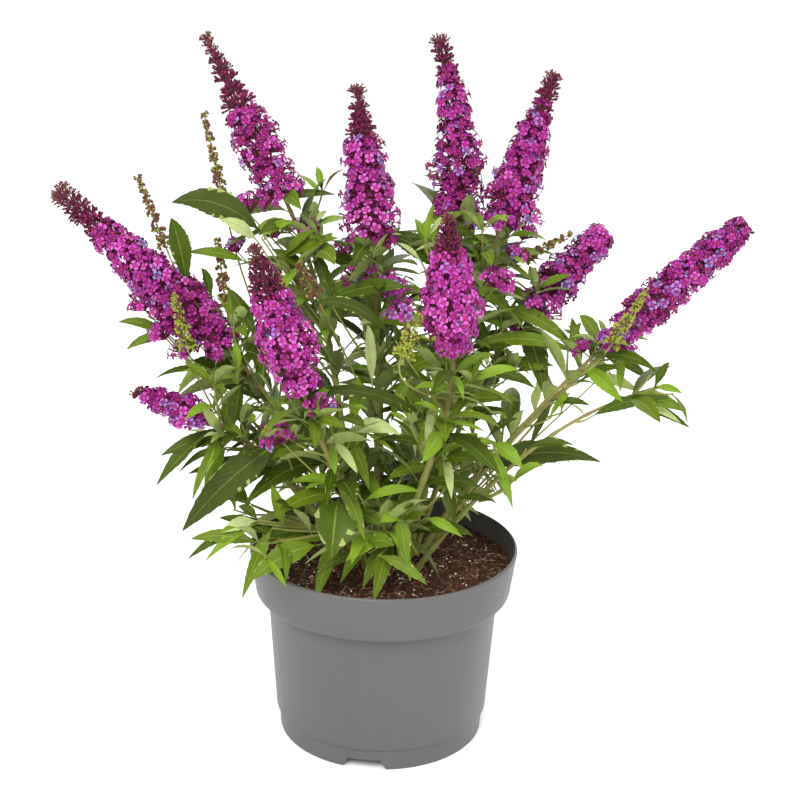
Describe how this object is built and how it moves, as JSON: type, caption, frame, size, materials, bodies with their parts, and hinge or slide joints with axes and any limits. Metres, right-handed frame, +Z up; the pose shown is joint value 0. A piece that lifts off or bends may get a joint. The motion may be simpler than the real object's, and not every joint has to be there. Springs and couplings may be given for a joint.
{
  "type": "potted butterfly bush",
  "caption": "Flowering butterfly bush with upright magenta flower spikes over narrow green leaves, growing in a round grey nursery pot.",
  "frame": {"origin": "centre of the pot's flat underside", "axes": "+Z up along the pot's axis, front of the plant towards -Y, +X to the right seen from the front"},
  "size_m": [0.554, 0.356, 0.5763],
  "materials": {
    "pot": "satin",
    "soil": "matte",
    "stem": "matte",
    "foliage": "matte",
    "blossom": "matte"
  },
  "bodies": {
    "root": {"pot": "pot", "soil": "soil", "limb_left_far": "stem", "panicle_left_far": "blossom", "limb_left_tall": "stem", "panicle_left_tall": "blossom", "limb_mid_left": "stem", "panicle_mid_left": "blossom", "limb_mid_tall": "stem", "panicle_mid_tall": "blossom", "limb_right_tall": "stem", "panicle_right_tall": "blossom", "limb_right_mid": "stem", "panicle_right_mid": "blossom", "limb_right_far": "stem", "panicle_right_far": "blossom", "limb_front_mid": "stem", "panicle_front_mid": "blossom", "limb_front_left": "stem", "panicle_front_left": "blossom", "limb_left_low": "stem", "panicle_left_low": "blossom", "limb_back_left": "stem", "panicle_back_left": "blossom", "limb_back_right": "stem", "panicle_back_right": "blossom", "limb_rear_left": "stem", "panicle_rear_left": "blossom", "limb_rear_mid": "stem", "panicle_rear_mid": "blossom", "limb_rear_right": "stem", "panicle_rear_right": "blossom", "limb_right_leafy": "stem", "leaves_left_far": "foliage", "leaves_left_tall": "foliage", "leaves_mid_left": "foliage", "leaves_mid_tall": "foliage", "leaves_right_tall": "foliage", "leaves_right_mid": "foliage", "leaves_right_far": "foliage", "leaves_front_mid": "foliage", "leaves_front_left": "foliage", "leaves_left_low": "foliage", "leaves_back_left": "foliage", "leaves_back_right": "foliage", "leaves_rear_left": "foliage", "leaves_rear_mid": "foliage", "leaves_rear_right": "foliage", "leaves_right_leafy": "foliage", "leaves_spill_left": "foliage", "leaves_low_front": "foliage", "leaves_low_right": "foliage", "leaves_inner_front": "foliage", "leaves_inner_left": "foliage", "leaves_inner_right": "foliage", "leaves_low_left": "foliage", "leaves_low_rear_left": "foliage", "leaves_low_rear": "foliage", "leaves_low_rear_right": "foliage"}
  },
  "joints": []
}
